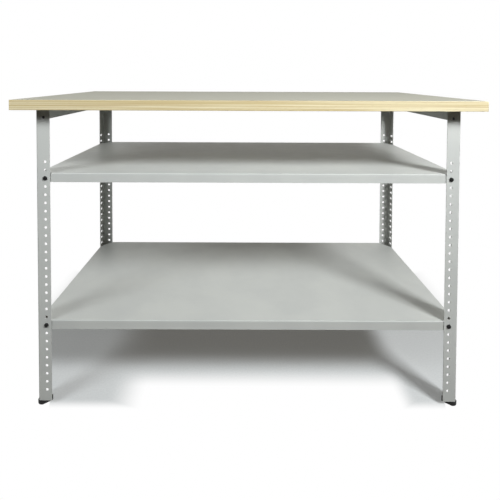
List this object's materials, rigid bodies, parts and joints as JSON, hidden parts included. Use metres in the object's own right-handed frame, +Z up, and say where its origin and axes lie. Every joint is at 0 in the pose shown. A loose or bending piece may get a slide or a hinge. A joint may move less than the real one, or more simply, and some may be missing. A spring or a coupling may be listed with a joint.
{
  "type": "assembly table",
  "caption": "Free-standing assembly table: a laminated board with a wood-look edge on perforated angle posts, with two bolted sheet-metal shelves.",
  "frame": {"origin": "on the floor, under the middle of the table", "axes": "+X along the front edge to the right, +Y from front to back, +Z up"},
  "size_m": [1.3, 0.7, 0.88],
  "materials": {
    "grey_laminate": "fine satin texture",
    "chipboard": "raw pressed chips",
    "wood_edge_band": "satin, fine lengthwise grain",
    "grey_powder_coat": "satin powder coat with a light orange peel",
    "black_plastic": "matt moulded",
    "black_steel": "black oxide, satin",
    "zinc_steel": "zinc plated"
  },
  "bodies": {
    "root": {"back_left_foot": "black_plastic", "back_left_post": "grey_powder_coat", "back_right_foot": "black_plastic", "back_right_post": "grey_powder_coat", "edge_band_back": "wood_edge_band", "edge_band_front": "wood_edge_band", "edge_band_left": "wood_edge_band", "edge_band_right": "wood_edge_band", "front_left_foot": "black_plastic", "front_left_post": "grey_powder_coat", "front_right_foot": "black_plastic", "front_right_post": "grey_powder_coat", "left_rail": "grey_powder_coat", "left_rail_nuts": "zinc_steel", "left_rail_screws": "black_steel", "left_wood_screws": "zinc_steel", "lower_shelf": "grey_powder_coat", "lower_shelf_bolts": "black_steel", "lower_shelf_nuts": "zinc_steel", "lower_shelf_stiffener": "grey_powder_coat", "right_rail": "grey_powder_coat", "right_rail_nuts": "zinc_steel", "right_rail_screws": "black_steel", "right_wood_screws": "zinc_steel", "upper_shelf": "grey_powder_coat", "upper_shelf_bolts": "black_steel", "upper_shelf_nuts": "zinc_steel", "upper_shelf_stiffener": "grey_powder_coat", "worktop_bottom_laminate": "grey_laminate", "worktop_core": "chipboard", "worktop_top_laminate": "grey_laminate"}
  },
  "joints": []
}
